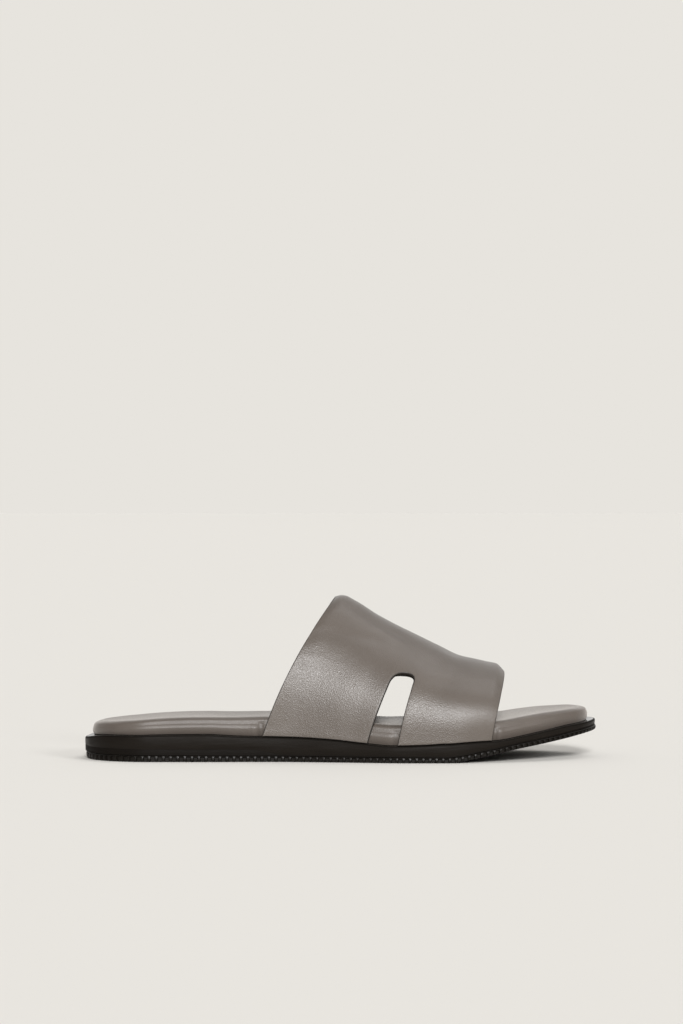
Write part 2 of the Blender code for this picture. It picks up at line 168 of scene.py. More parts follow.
# Materials; the scales are counts a metre
LEATHERS = (
    # name, dark, light, grain scale, grain depth, roughness, sheen, gloss
    ("strap leather", (0.079, 0.064, 0.0525), (0.091, 0.075, 0.0625), 1900, 0.00014, (0.32, 0.46), 0.04, 0.6),
    ("strap lining", (0.120, 0.099, 0.084), (0.138, 0.115, 0.098), 2200, 0.00006, (0.60, 0.70), 0.10, 0.5),
    ("footbed leather", (0.074, 0.060, 0.050), (0.087, 0.0715, 0.060), 1900, 0.00011, (0.40, 0.54), 0.28, 0.5),
)
RUBBERS = (
    # name, dark, light, roughness, gloss
    ("sole rubber", (0.0060, 0.0046, 0.0035), (0.0115, 0.0092, 0.0072), (0.36, 0.50), 0.07),
    # Darker copy of the sole rubber: painted shade on the heel lift's recessed band and on the midsole's
    # rounded top edge
    ("lift and edge shade rubber", (0.0045, 0.0035, 0.0028), (0.0080, 0.0065, 0.0052), (0.45, 0.60), 0.04),
    # Lighter, glossier copy of the sole rubber for the sole's top: the lighter colour is a painted highlight,
    # the gloss is real
    ("rim highlight rubber", (0.010, 0.009, 0.008), (0.016, 0.014, 0.012), (0.18, 0.28), 0.4),
    ("tread rubber", (0.0045, 0.0036, 0.0028), (0.0085, 0.0070, 0.0056), (0.30, 0.42), 0.15),
)
MOTTLE_SCALE = 38.0
WAVE_SCALE, WAVE_DEPTH, WAVE_STRENGTH = 90.0, 0.00035, 0.35
GRAIN_SHARE, PORE_SHARE, PORE_FINENESS = 0.75, 0.35, 1.7
GRAIN_STRENGTH = 0.9
SHEEN_ROUGHNESS = 0.45
SHEEN_TINT = (1.0, 0.93, 0.86)
PAINT_DARK = (0.020, 0.016, 0.013)
PAINT_LIGHTER = 1.5
PAINT_ROUGHNESS = (0.42, 0.62)
PAINT_COLOUR_SCALE, PAINT_GLOSS_SCALE, PAINT_BUMP_SCALE = 400.0, 900.0, 1200.0
PAINT_BUMP_DEPTH, PAINT_BUMP_STRENGTH = 0.0001, 0.5
STREAK_SCALE, STREAK_STRETCH, STREAK_DEPTH = 60.0, (1.0, 1.0, 9.0), 0.00025
SMEAR_SCALE, SMEAR_STRETCH = 220.0, (0.5, 0.5, 3.0)
SPECK_SCALE, SPECK_DEPTH = 1400.0, 0.00006
RUBBER_BUMP_STRENGTH = 0.5

LATERAL, MEDIAL = -1, 1

OUTLINE = (
    # along, width, lateral, medial
    (0.000, HEEL_WIDTH, 0.082, -0.082),
    (0.017, HEEL_WIDTH, 0.333, 0.168),
    (0.064, HEEL_WIDTH, 0.515, 0.351),
    (0.128, HEEL_WIDTH, 0.582, 0.418),
    (0.237, HEEL_WIDTH, 0.582, 0.412),
    (0.370, WAIST_WIDTH, 0.606, 0.394),
    (0.500, BALL_WIDTH, 0.445, 0.320),
    (0.623, BALL_WIDTH, 0.496, 0.437),
    (0.710, BALL_WIDTH, 0.496, 0.494),
    (0.791, BALL_WIDTH, 0.466, 0.500),
    (0.881, BALL_WIDTH, 0.350, 0.460),
    (0.929, BALL_WIDTH, 0.262, 0.412),
    (0.973, BALL_WIDTH, 0.155, 0.335),
    (1.000, BALL_WIDTH, -0.078, 0.078),
)

SOLE_SIDE = (
    # along, lift, thickness, share
    (0.000, 0.04, HEEL_THICK, 0.757),
    (0.020, 0.00, HEEL_THICK, 0.892),
    (0.050, 0.00, HEEL_THICK, 0.953),
    (0.100, 0.00, HEEL_THICK, 0.960),
    (0.160, 0.00, HEEL_THICK, 0.987),
    (0.240, 0.00, HEEL_THICK, 1.000),
    (0.300, 0.00, HEEL_THICK, 0.943),
    (0.420, 0.00, HEEL_THICK, 0.888),
    (0.482, 0.00, HEEL_THICK, 0.818),
    (0.542, 0.00, BALL_THICK, 1.09),
    (0.600, 0.00, BALL_THICK, 0.96),
    (0.660, 0.00, BALL_THICK, 1.00),
    (0.700, 0.00, BALL_THICK, 1.07),
    (0.735, 0.08, BALL_THICK, 1.01),
    (0.763, 0.19, BALL_THICK, 0.89),
    (0.800, 0.325, TOE_THICK, 1.055),
    (0.826, 0.43, TOE_THICK, 0.97),
    (0.881, 0.605, TOE_THICK, 1.00),
    (0.929, 0.765, TOE_THICK, 1.03),
    (0.980, 0.95, TOE_THICK, 0.91),
    (1.000, 1.00, TOE_THICK, 0.92),
)

FOOTBED_SIDE = (
    # along, height
    (0.000, 0.610),
    (0.050, 0.632),
    (0.086, 0.692),
    (0.149, 0.784),
    (0.205, 0.827),
    (0.250, 0.835),
    (0.300, 0.903),
    (0.350, 0.958),
    (0.420, 0.985),
    (0.540, 1.000),
    (0.700, 0.970),
    (0.780, 0.930),
    (0.840, 0.912),
    (0.881, 0.873),
    (0.930, 0.750),
    (1.000, 0.620),
)

CREST_LINE = (
    # along, height
    (0.000, 1.000),
    (0.035, 0.998),
    (0.070, 0.984),
    (0.103, 0.945),
    (0.150, 0.886),
    (0.245, 0.748),
    (0.364, 0.604),
    (0.482, 0.476),
    (0.600, 0.347),
    (0.719, 0.229),
    (0.837, 0.153),
    (0.896, 0.120),
    (0.956, 0.092),
    (0.985, 0.035),
    (1.000, 0.000),
)


class Curve:
    """Smooth curve through rows of a key and a value, with no overshoot between two rows."""

    def __init__(self, rows):
        self.keys = [row[0] for row in rows]
        self.values = [row[1] for row in rows]
        pairs = list(zip(rows, rows[1:]))
        slopes = [(b[1] - a[1]) / (b[0] - a[0]) for a, b in pairs]
        self.tangents = [slopes[0]]
        for before, after in zip(slopes, slopes[1:]):
            blend = 2.0 * before * after / (before + after) if before * after > 0.0 else 0.0
            self.tangents.append(blend)
        self.tangents.append(slopes[-1])

    def __call__(self, at):
        keys, values, tangents = self.keys, self.values, self.tangents
        at = min(max(at, keys[0]), keys[-1])
        i = 0
        while i < len(keys) - 2 and at > keys[i + 1]:
            i += 1
        span = keys[i + 1] - keys[i]
        t = (at - keys[i]) / span
        start = (1 + 2 * t) * (1 - t) ** 2 * values[i] + t * (1 - t) ** 2 * span * tangents[i]
        end = t * t * (3 - 2 * t) * values[i + 1] + t * t * (t - 1) * span * tangents[i + 1]
        return start + end


def turn_of(share):
    """Turn round the sole, 0 at the heel tip and pi at the toe tip, for a share of the length."""
    return math.acos(1.0 - 2.0 * min(max(share, 0.0), 1.0))


def share_of(turn):
    return (1.0 - math.cos(turn)) / 2.0


raw_edge = {
    LATERAL: Curve([(turn_of(row[0]), -row[1] * row[2]) for row in OUTLINE]),
    MEDIAL: Curve([(turn_of(row[0]), row[1] * row[3]) for row in OUTLINE]),
}
sole_lift = Curve([(row[0], TOE_SPRING * row[1]) for row in SOLE_SIDE])
sole_thickness = Curve([(row[0], row[2] * row[3]) for row in SOLE_SIDE])
footbed_share = Curve(FOOTBED_SIDE)
crest_share = Curve(CREST_LINE)


def across_middle():
    turns = [math.pi * i / OUTLINE_SAMPLES for i in range(OUTLINE_SAMPLES + 1)]
    return (min(map(raw_edge[LATERAL], turns)) + max(map(raw_edge[MEDIAL], turns))) / 2.0


MIDDLE = across_middle()


def along_of(x):
    return x / LENGTH + 0.5


def edge_frame(turn, side):
    """Point of the sole's edge at a turn, and the direction inwards across the edge."""
    step = math.pi / OUTLINE_SAMPLES

    def place(at):
        flipped = -side if at < 0.0 or at > math.pi else side
        inner = -at if at < 0.0 else (2.0 * math.pi - at if at > math.pi else at)
        return Vector(((share_of(inner) - 0.5) * LENGTH, raw_edge[flipped](inner) - MIDDLE))

    tangent = (place(turn + step) - place(turn - step)).normalized()
    return place(turn), Vector((side * tangent.y, -side * tangent.x))


def edge_point(turn, side, inset=0.0):
    point, inward = edge_frame(turn, side)
    return point + inward * inset


def sole_bottom(x):
    return sole_lift(along_of(x))


def sole_top(x):
    return sole_bottom(x) + sole_thickness(along_of(x))


def outsole_thick(x):
    return OUTSOLE_HEEL_THICK + (OUTSOLE_TOE_THICK - OUTSOLE_HEEL_THICK) * along_of(x)


def sole_inset(turn):
    return OUTSOLE_PROUD * share_of(turn)


def tread_inset(turn):
    return OUTSOLE_HEEL_TUCK * (1.0 - share_of(turn))


def smooth_step(low, high, at):
    t = min(max((at - low) / (high - low), 0.0), 1.0)
    return t * t * (3.0 - 2.0 * t)


def bell(at, centre, width):
    return math.exp(-(((at - centre) / width) ** 2))


def lift_height(x):
    past = (x + LENGTH / 2.0 - LIFT_LEVEL_LENGTH) / LIFT_FEATHER_LENGTH
    return LIFT_HEIGHT * (1.0 - smooth_step(0.0, 1.0, past))


def footbed_height(x):
    return FOOTBED_THICK * footbed_share(along_of(x))


def ring_turns(count):
    """Turns and sides once round the sole, from the heel tip along the outer edge and back inside."""
    outer = [(math.pi * i / count, LATERAL) for i in range(count + 1)]
    inner = [(math.pi * (count - i) / count, MEDIAL) for i in range(1, count)]
    return outer + inner


def add_piece(name, verts, faces, materials, replaced, face_material=None, sharp=40.0):
    """Mesh object from plain lists, shaded smooth, riding on the body and standing for CAD nodes."""
    data = bpy.data.meshes.new(name)
    data.from_pydata([tuple(v) for v in verts], [], faces)
    for material in materials:
        data.materials.append(material)
    if face_material is not None:
        data.polygons.foreach_set("material_index", face_material)
    data.shade_smooth()
    data.set_sharp_from_angle(angle=math.radians(sharp))
    data.update()
    piece = bpy.data.objects.new(name, data)
    bpy.context.scene.collection.objects.link(piece)
    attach(piece, "root")
    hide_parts(*replaced)
    return piece


def band_faces(rings):
    """Quads between neighbouring closed rings, given as lists of vertex numbers."""
    faces = []
    for lower, upper in zip(rings, rings[1:]):
        count = len(lower)
        for i in range(count):
            j = (i + 1) % count
            faces.append((lower[i], lower[j], upper[j], upper[i]))
    return faces


def cap_faces(ring, upward):
    """Faces across a ring, from each outer point to the inner point opposite."""
    faces = []
    count = len(ring)
    for i in range(count // 2):
        corners = [ring[i], ring[i + 1], ring[(count - i - 1) % count], ring[(count - i) % count]]
        corners = [v for k, v in enumerate(corners) if v not in corners[:k]]
        faces.append(tuple(corners if upward else corners[::-1]))
    return faces


# Materials


class Nodes:
    """Short hand for building a node tree."""

    def __init__(self, name):
        self.material = bpy.data.materials.new(name)
        self.material.use_nodes = True
        self.tree = self.material.node_tree
        self.shader = self.tree.nodes["Principled BSDF"]
        self.coord = self.add("ShaderNodeTexCoord").outputs["Object"]

    def add(self, kind, **settings):
        node = self.tree.nodes.new(kind)
        for key, value in settings.items():
            setattr(node, key, value)
        return node

    def feed(self, socket, value):
        if isinstance(value, bpy.types.NodeSocket):
            self.tree.links.new(value, socket)
        else:
            socket.default_value = value

    def noise(self, scale, detail=3.0, roughness=0.5, stretch=None):
        node = self.add("ShaderNodeTexNoise")
        self.feed(node.inputs["Vector"], self.stretched(stretch))
        node.inputs["Scale"].default_value = scale
        node.inputs["Detail"].default_value = detail
        node.inputs["Roughness"].default_value = roughness
        return node.outputs["Fac"]

    def soft_cells(self, scale, smoothness=0.5):
        node = self.add("ShaderNodeTexVoronoi", feature="SMOOTH_F1")
        self.feed(node.inputs["Vector"], self.coord)
        node.inputs["Scale"].default_value = scale
        node.inputs["Smoothness"].default_value = smoothness
        return node.outputs["Distance"]

    def stretched(self, stretch):
        if stretch is None:
            return self.coord
        node = self.add("ShaderNodeMapping")
        self.feed(node.inputs["Vector"], self.coord)
        node.inputs["Scale"].default_value = stretch
        return node.outputs["Vector"]

    def math(self, operation, a, b):
        node = self.add("ShaderNodeMath", operation=operation)
        self.feed(node.inputs[0], a)
        self.feed(node.inputs[1], b)
        return node.outputs[0]

    def spread(self, noise, to_low, to_high, low=0.3, high=0.7):
        """Widen the middle of a noise to a range."""
        node = self.add("ShaderNodeMapRange")
        self.feed(node.inputs["Value"], noise)
        node.inputs["From Min"].default_value = low
        node.inputs["From Max"].default_value = high
        node.inputs["To Min"].default_value = to_low
        node.inputs["To Max"].default_value = to_high
        return node.outputs["Result"]

    def mix_colour(self, factor, a, b):
        node = self.add("ShaderNodeMix", data_type="RGBA")
        self.feed(node.inputs["Factor"], factor)
        self.feed(node.inputs[6], a)
        self.feed(node.inputs[7], b)
        return node.outputs[2]

    def bump(self, height, distance, strength, below=None):
        node = self.add("ShaderNodeBump")
        self.feed(node.inputs["Height"], height)
        node.inputs["Distance"].default_value = distance
        node.inputs["Strength"].default_value = strength
        if below is not None:
            self.feed(node.inputs["Normal"], below)
        return node.outputs["Normal"]


def rgba(colour):
    return (*colour, 1.0)


def leather(name, dark, light, grain_scale, grain_depth, roughness, sheen, gloss):
    """Fine-grained leather: mottled colour, pebbled bump and uneven gloss."""
    n = Nodes(name)
    mottle = n.noise(MOTTLE_SCALE, detail=4.0, roughness=0.55)
    grain = n.soft_cells(grain_scale)
    pores = n.noise(grain_scale * PORE_FINENESS, detail=2.0)
    tone = n.mix_colour(n.spread(mottle, 0.0, 1.0), rgba(dark), rgba(light))
    n.feed(n.shader.inputs["Base Color"], tone)
    n.feed(n.shader.inputs["Roughness"], n.spread(pores, *roughness, low=0.25, high=0.75))
    height = n.math("ADD", n.math("MULTIPLY", grain, GRAIN_SHARE), n.math("MULTIPLY", pores, PORE_SHARE))
    wave = n.bump(n.noise(WAVE_SCALE, detail=2.0), WAVE_DEPTH, WAVE_STRENGTH)
    n.feed(n.shader.inputs["Normal"], n.bump(height, grain_depth, GRAIN_STRENGTH, below=wave))
    n.shader.inputs["Specular IOR Level"].default_value = gloss
    n.shader.inputs["Sheen Weight"].default_value = sheen
    n.shader.inputs["Sheen Roughness"].default_value = SHEEN_ROUGHNESS
    n.shader.inputs["Sheen Tint"].default_value = rgba(SHEEN_TINT)
    return n.material


def edge_paint(name):
    """Painted cut edge of the leather."""
    n = Nodes(name)
    light = [channel * PAINT_LIGHTER for channel in PAINT_DARK]
    tone = n.mix_colour(n.noise(PAINT_COLOUR_SCALE), rgba(PAINT_DARK), rgba(light))
    n.feed(n.shader.inputs["Base Color"], tone)
    n.feed(n.shader.inputs["Roughness"], n.spread(n.noise(PAINT_GLOSS_SCALE), *PAINT_ROUGHNESS))
    n.feed(n.shader.inputs["Normal"], n.bump(n.noise(PAINT_BUMP_SCALE), PAINT_BUMP_DEPTH, PAINT_BUMP_STRENGTH))
    return n.material


def rubber(name, dark, light, roughness, gloss):
    """Black rubber with fine streaks along the side."""
    n = Nodes(name)
    streak = n.noise(STREAK_SCALE, detail=5.0, roughness=0.6, stretch=STREAK_STRETCH)
    n.feed(n.shader.inputs["Base Color"], n.mix_colour(streak, rgba(dark), rgba(light)))
    smear = n.noise(SMEAR_SCALE, stretch=SMEAR_STRETCH)
    n.feed(n.shader.inputs["Roughness"], n.spread(smear, *roughness))
    specks = n.bump(n.noise(SPECK_SCALE, detail=2.0), SPECK_DEPTH, RUBBER_BUMP_STRENGTH)
    n.feed(n.shader.inputs["Normal"], n.bump(streak, STREAK_DEPTH, RUBBER_BUMP_STRENGTH, below=specks))
    n.shader.inputs["Specular IOR Level"].default_value = gloss
    return n.material


# Strap


def upper_frame(along, around):
    """Side, rim, crest and fullness of the strap's section at a place along it."""
    side = LATERAL if around < 0.0 else MEDIAL
    start = (UPPER_CENTRE - 0.5) * LENGTH - UPPER_RIM_LENGTH / 2.0
    rim_x = start + UPPER_RIM_LENGTH * along
    if side == MEDIAL:
        rim_x += UPPER_INNER_SET * (1.0 - along)
    crest_x = start + (UPPER_RIM_LENGTH - UPPER_CREST_LENGTH) / 2.0 + UPPER_CREST_LEAD
    crest_x += UPPER_CREST_LENGTH * along
    rim = edge_point(turn_of(along_of(rim_x)), side, OUTSOLE_PROUD + UPPER_MARGIN)
    rim_z = sole_top(rim_x) + CLEARANCE
    crest_z = VAMP_HEIGHT + (INSTEP_HEIGHT - VAMP_HEIGHT) * crest_share(along)
    fullness = BACK_FULLNESS + (FRONT_FULLNESS - BACK_FULLNESS) * along
    return side, rim_x, crest_x, rim.y, rim_z, crest_z, fullness


def upper_point(along, around):
    """Outer face of the strap, along from back to front edge and around from outer to inner rim."""
    side, rim_x, crest_x, rim_y, rim_z, crest_z, fullness = upper_frame(along, around)
    angle = max(0.0, 1.0 - abs(around)) * math.pi / 2.0
    up = math.sin(angle) ** (2.0 / fullness)
    out = max(0.0, math.cos(angle)) ** (2.0 / fullness)
    lean = LEAN_STRAIGHT * up + (1.0 - LEAN_STRAIGHT) * up ** LEAN_CURL
    # 16 brings the highest value of the square to one
    bulge = UPPER_BULGE * 16.0 * (up * (1.0 - up)) ** 2
    return Vector(
        (
            rim_x + (crest_x - rim_x) * lean,
            CREST_SHIFT + (rim_y - CREST_SHIFT) * out + side * bulge,
            rim_z + (crest_z - rim_z) * up,
        )
    )


def around_at_height(along, height, side):
    """Place around the strap that lies at a height over the rim."""
    _, _, _, _, rim_z, crest_z, fullness = upper_frame(along, side)
    up = max(0.0, height / (crest_z - rim_z)) ** (fullness / 2.0)
    return side * (1.0 - math.asin(min(1.0, up)) / (math.pi / 2.0))


def slot_edge(side):
    """Edge of the slot between rear leg and front leg, from the back over the round top to the front."""
    drop, shift, widen = 0.0, 0.0, 0.0
    if side == MEDIAL:
        drop, shift, widen = SLOT_INNER_DROP, SLOT_INNER_SHIFT, SLOT_INNER_WIDEN
    straight = SLOT_HEIGHT - SLOT_ROUND - drop
    middle = 0.5 + (SLOT_OFFSET + shift) / UPPER_RIM_LENGTH
    foot_width, top_width = SLOT_WIDTH + widen, SLOT_TOP_WIDTH + widen
    rises = round(straight / STRAP_EDGE_STEP)
    outline = []
    for i in range(rises + 1):
        share = i / rises
        half = (foot_width + (top_width - foot_width) * share) / 2.0
        outline.append((-half - SLOT_LEAN * share, straight * share))
    mirrored = [(-x - 2.0 * SLOT_LEAN * z / straight, z) for x, z in reversed(outline)]
    arc_steps = round(math.pi * (SLOT_ROUND + top_width / 2.0) / 2.0 / STRAP_EDGE_STEP)
    for i in range(1, arc_steps):
        angle = math.pi * i / arc_steps
        across = abs(math.cos(angle)) ** (2.0 / SLOT_FULLNESS)
        x = -math.copysign(across, math.cos(angle)) * top_width / 2.0 - SLOT_LEAN
        outline.append((x, straight + SLOT_ROUND * math.sin(angle) ** (2.0 / SLOT_FULLNESS)))
    edge = []
    for x, z in outline + mirrored:
        along = middle + x / UPPER_RIM_LENGTH
        edge.append((along, around_at_height(along, z, side)))
    return edge


def pattern_outline():
    """Outline of the strap's pattern with both slots, from the outer back corner and round."""

    def line(start, end):
        run = math.hypot(
            (end[0] - start[0]) * STRAP_PATTERN_WIDTH, (end[1] - start[1]) * STRAP_PATTERN_GIRTH
        )
        steps = max(1, round(run / STRAP_EDGE_STEP))
        return [
            (start[0] + (end[0] - start[0]) * i / steps, start[1] + (end[1] - start[1]) * i / steps)
            for i in range(steps)
        ]

    outer_slot = slot_edge(LATERAL)
    inner_slot = slot_edge(MEDIAL)[::-1]
    outline = line((0.0, LATERAL), outer_slot[0]) + outer_slot[:-1]
    outline += line(outer_slot[-1], (1.0, LATERAL)) + line((1.0, LATERAL), (1.0, MEDIAL))
    outline += line((1.0, MEDIAL), inner_slot[0]) + inner_slot[:-1]
    outline += line(inner_slot[-1], (0.0, MEDIAL)) + line((0.0, MEDIAL), (0.0, LATERAL))
    return outline


# Soft troughs and ridges of the strap: a row for each, from one place to another on the pattern
STRAP_CREASES = (
    # along, around, to along, to around, half width, height
    (0.02, -0.52, 0.30, -0.40, 0.045, -0.00045),
    (0.10, -0.30, 0.45, -0.30, 0.060, 0.00035),
    (0.40, -0.22, 0.62, -0.42, 0.050, -0.00040),
    (0.70, -0.55, 0.95, -0.50, 0.050, -0.00030),
    (0.70, -0.10, 0.80, 0.20, 0.070, -0.00060),
    (0.00, -0.655, 0.13, -0.640, 0.016, 0.00008),
    (0.00, -0.695, 0.10, -0.685, 0.014, -0.00007),
    (0.00, -0.735, 0.12, -0.730, 0.016, 0.00007),
)

# The back edge dips at the crest
CREST_DIP_ALONG = 0.024
CREST_DIP_AROUND = 0.38
CREST_DIP_HEIGHT = -0.0009


def strap_relief(along, around):
    """Height of the troughs and ridges at a place on the pattern."""
    height = CREST_DIP_HEIGHT * bell(along, 0.0, CREST_DIP_ALONG) * bell(around, 0.0, CREST_DIP_AROUND)
    for a0, r0, a1, r1, width, depth in STRAP_CREASES:
        da, dr = a1 - a0, r1 - r0
        run = da * da + dr * dr
        t = ((along - a0) * da + (around - r0) * dr) / run
        near = min(max(t, 0.0), 1.0)
        off = math.hypot(along - a0 - da * near, around - r0 - dr * near)
        height += depth * bell(off, 0.0, width)
    return height


def surface_normal(along, around):
    a = upper_point(along + NORMAL_STEP, around) - upper_point(along - NORMAL_STEP, around)
    low, high = max(-1.0, around - NORMAL_STEP), min(1.0, around + NORMAL_STEP)
    b = upper_point(along, high) - upper_point(along, low)
    return a.cross(b).normalized()


def pattern_mesh():
    """Even triangles over the pattern: places (along, around), triangles, and the rim's vertices."""
    wide, tall = STRAP_PATTERN_WIDTH, STRAP_PATTERN_GIRTH
    outline = np.array([(a * wide, r * tall) for a, r in pattern_outline()])
    count = len(outline)
    columns = int(wide / STRAP_GRID)
    rows = int(2.0 * tall / (STRAP_GRID * STRAP_ROW_SHARE))
    inside = []
    for j in range(1, rows):
        for i in range(columns + 1):
            x = wide * (i + 0.5 * (j % 2)) / columns
            y = tall * (2.0 * j / rows - 1.0)
            if 0.0 < x < wide:
                inside.append((x, y))
    inside = np.array(inside)
    keep = np.ones(len(inside), bool)
    for point in outline:
        keep &= np.hypot(*(inside - point).T) > STRAP_GRID_MARGIN * STRAP_GRID
    points = [Vector(p) for p in outline] + [Vector(p) for p in inside[keep]]
    edges = [(i, (i + 1) % count) for i in range(count)]
    flat, _, triangles, origin, _, _ = delaunay_2d_cdt(points, edges, [], 1, MERGE_DISTANCE)
    used = sorted({v for face in triangles for v in face})
    number = {v: k for k, v in enumerate(used)}
    triangles = [tuple(number[v] for v in face) for face in triangles]
    places = [(flat[v].x / wide, flat[v].y / tall) for v in used]
    first = {}
    for k, v in enumerate(used):
        for source in origin[v]:
            first[source] = k
    return places, triangles, [first[i] for i in range(count)]


def make_strap(grain, lining, paint):
    """Closed shell of the strap: grain side, lining side and a rounded painted edge all round."""
    places, triangles, rim = pattern_mesh()
    count = len(rim)
    outer = [upper_point(a, r) for a, r in places]
    normals = [surface_normal(a, r) for a, r in places]
    outer = [p + n * strap_relief(a, r) for p, n, (a, r) in zip(outer, normals, places)]
    inner = [p - n * UPPER_WALL for p, n in zip(outer, normals)]
    half, radius = UPPER_WALL / 2.0, EDGE_RADIUS
    strips = [[] for _ in range(2 * STRAP_ROUND_STEPS + 1)]
    for k in range(count):
        v = rim[k]
        run = outer[rim[(k + 1) % count]] - outer[rim[k - 1]]
        away = run.cross(normals[v]).normalized()
        edge = outer[v].copy()
        outer[v] = edge - away * radius
        inner[v] = edge - normals[v] * UPPER_WALL - away * radius
        middle = edge - normals[v] * half - away * radius
        for step in range(2 * STRAP_ROUND_STEPS + 1):
            angle = math.pi / 2.0 - math.pi * step / (2 * STRAP_ROUND_STEPS)
            lift = 0.0 if step == STRAP_ROUND_STEPS else math.copysign(half - radius, math.sin(angle))
            offset = normals[v] * (lift + radius * math.sin(angle)) + away * radius * math.cos(angle)
            strips[step].append(middle + offset)
    verts = list(outer) + list(inner)
    size = len(outer)
    faces = list(triangles) + [tuple(v + size for v in reversed(face)) for face in triangles]
    kinds = [0] * len(triangles) + [1] * len(triangles)
    rings = [list(rim)]
    for strip in strips[1:-1]:
        rings.append(list(range(len(verts), len(verts) + count)))
        verts += strip
    rings.append([v + size for v in rim])
    around_edge = [tuple(reversed(face)) for face in band_faces(rings)]
    faces += around_edge
    kinds += [2] * len(around_edge)
    leathers = [grain, lining, paint]
    return add_piece("strap", verts, faces, leathers, ("upper",), kinds, sharp=60.0)


# Footbed


def footbed_inset(turn):
    """Distance of the footbed's wall from the sole's edge, inside the strap's legs."""
    toe = max(0.0, -math.cos(turn))
    seat = OUTSOLE_PROUD + UPPER_MARGIN + UPPER_WALL + CLEARANCE
    return seat + FOOTBED_TOE_MARGIN * toe ** 8


# Wall and roll of the footbed: how far each level lies inwards, what the fold along the sides adds,
# and its share of the height
FOOTBED_PROFILE = (
    # inward, fold, rise
    (0.00070, 0.00030, 0.00),
    (0.00040, 0.00025, 0.08),
    (0.00016, 0.00018, 0.18),
    (0.00003, 0.00008, 0.29),
    (0.00000, 0.00000, 0.40),
    (0.00008, 0.00008, 0.48),
    (0.00020, 0.00022, 0.56),
    (0.00040, 0.00042, 0.64),
    (0.00060, 0.00038, 0.72),
    (0.00086, 0.00028, 0.80),
    (0.00140, 0.00012, 0.875),
    (0.00245, 0.00002, 0.94),
    (0.00400, 0.00000, 0.984),
    (0.00620, 0.00000, 1.00),
)

# Gathers of the footbed's wall beside the strap
FOOTBED_GATHERS = (
    # place, half width, depth
    (-0.0440, 0.0012, 0.00120),
    (-0.0475, 0.0020, -0.00040),
    (0.0250, 0.0040, -0.00020),
    (0.0295, 0.0014, 0.00060),
    (0.0850, 0.0012, 0.00110),
    (0.0885, 0.0018, -0.00050),
)


def fold_share(x):
    """How much of the footbed's fold there is: all along the sides, none at the heel and the toe."""
    return smooth_step(*FOLD_HEEL_FADE, along_of(x)) * (1.0 - smooth_step(*FOLD_TOE_FADE, along_of(x)))


def make_footbed(cover):
    """Padded footbed: upright wall, rolled edge and a dished top."""
    turns = ring_turns(FOOTBED_STATIONS)
    count = len(turns)
    frames = [edge_frame(turn, side) for turn, side in turns]
    insets = [footbed_inset(turn) for turn, _ in turns]
    folded = [fold_share(point.x) for point, _ in frames]
    inward = Curve([(row[2], row[0]) for row in FOOTBED_PROFILE])
    fold = Curve([(row[2], row[1]) for row in FOOTBED_PROFILE])
    rises = []
    for (_, _, low), (_, _, high) in zip(FOOTBED_PROFILE, FOOTBED_PROFILE[1:]):
        rises += [low + (high - low) * k / FOOTBED_LEVEL_STEPS for k in range(FOOTBED_LEVEL_STEPS)]
    rises.append(1.0)
    verts, rings = [], []
    for rise in rises:
        ring = []
        for (point, direction), inset, share in zip(frames, insets, folded):
            pinch = sum(depth * bell(point.x, place, width) for place, width, depth in FOOTBED_GATHERS)
            pinch *= 1.0 - smooth_step(*GATHER_TOP_FADE, rise)
            p = point + direction * (inset + inward(rise) + share * fold(rise) + pinch)
            z = sole_top(p.x) + CLEARANCE + footbed_height(p.x) * rise
            ring.append(len(verts))
            verts.append(Vector((p.x, p.y, z)))
        rings.append(ring)
    faces = cap_faces(rings[0], upward=False) + band_faces(rings)
    last = rings[-1]
    half = count // 2
    spans = [[last[0]]]
    for i in range(1, half):
        a, b = last[i], last[count - i]
        span = [a]
        width = (verts[a] - verts[b]).length
        for k in range(1, FOOTBED_ACROSS):
            t = k / FOOTBED_ACROSS
            p = verts[a].lerp(verts[b], t)
            dish = FOOTBED_DISH * min(1.0, width / (BALL_WIDTH / 2.0)) * (1.0 - (2.0 * t - 1.0) ** 2)
            span.append(len(verts))
            verts.append(Vector((p.x, p.y, p.z - dish)))
        spans.append(span + [b])
    spans.append([last[half]])
    for near, far in zip(spans, spans[1:]):
        if len(near) == 1:
            faces += [(near[0], far[k], far[k + 1]) for k in range(len(far) - 1)]
        elif len(far) == 1:
            faces += [(near[k], far[0], near[k + 1]) for k in range(len(near) - 1)]
        else:
            faces += [(near[k], far[k], far[k + 1], near[k + 1]) for k in range(len(near) - 1)]
    piece = add_piece("footbed_pad", verts, faces, [cover], ("footbed",), sharp=70.0)
    return piece


# Sole


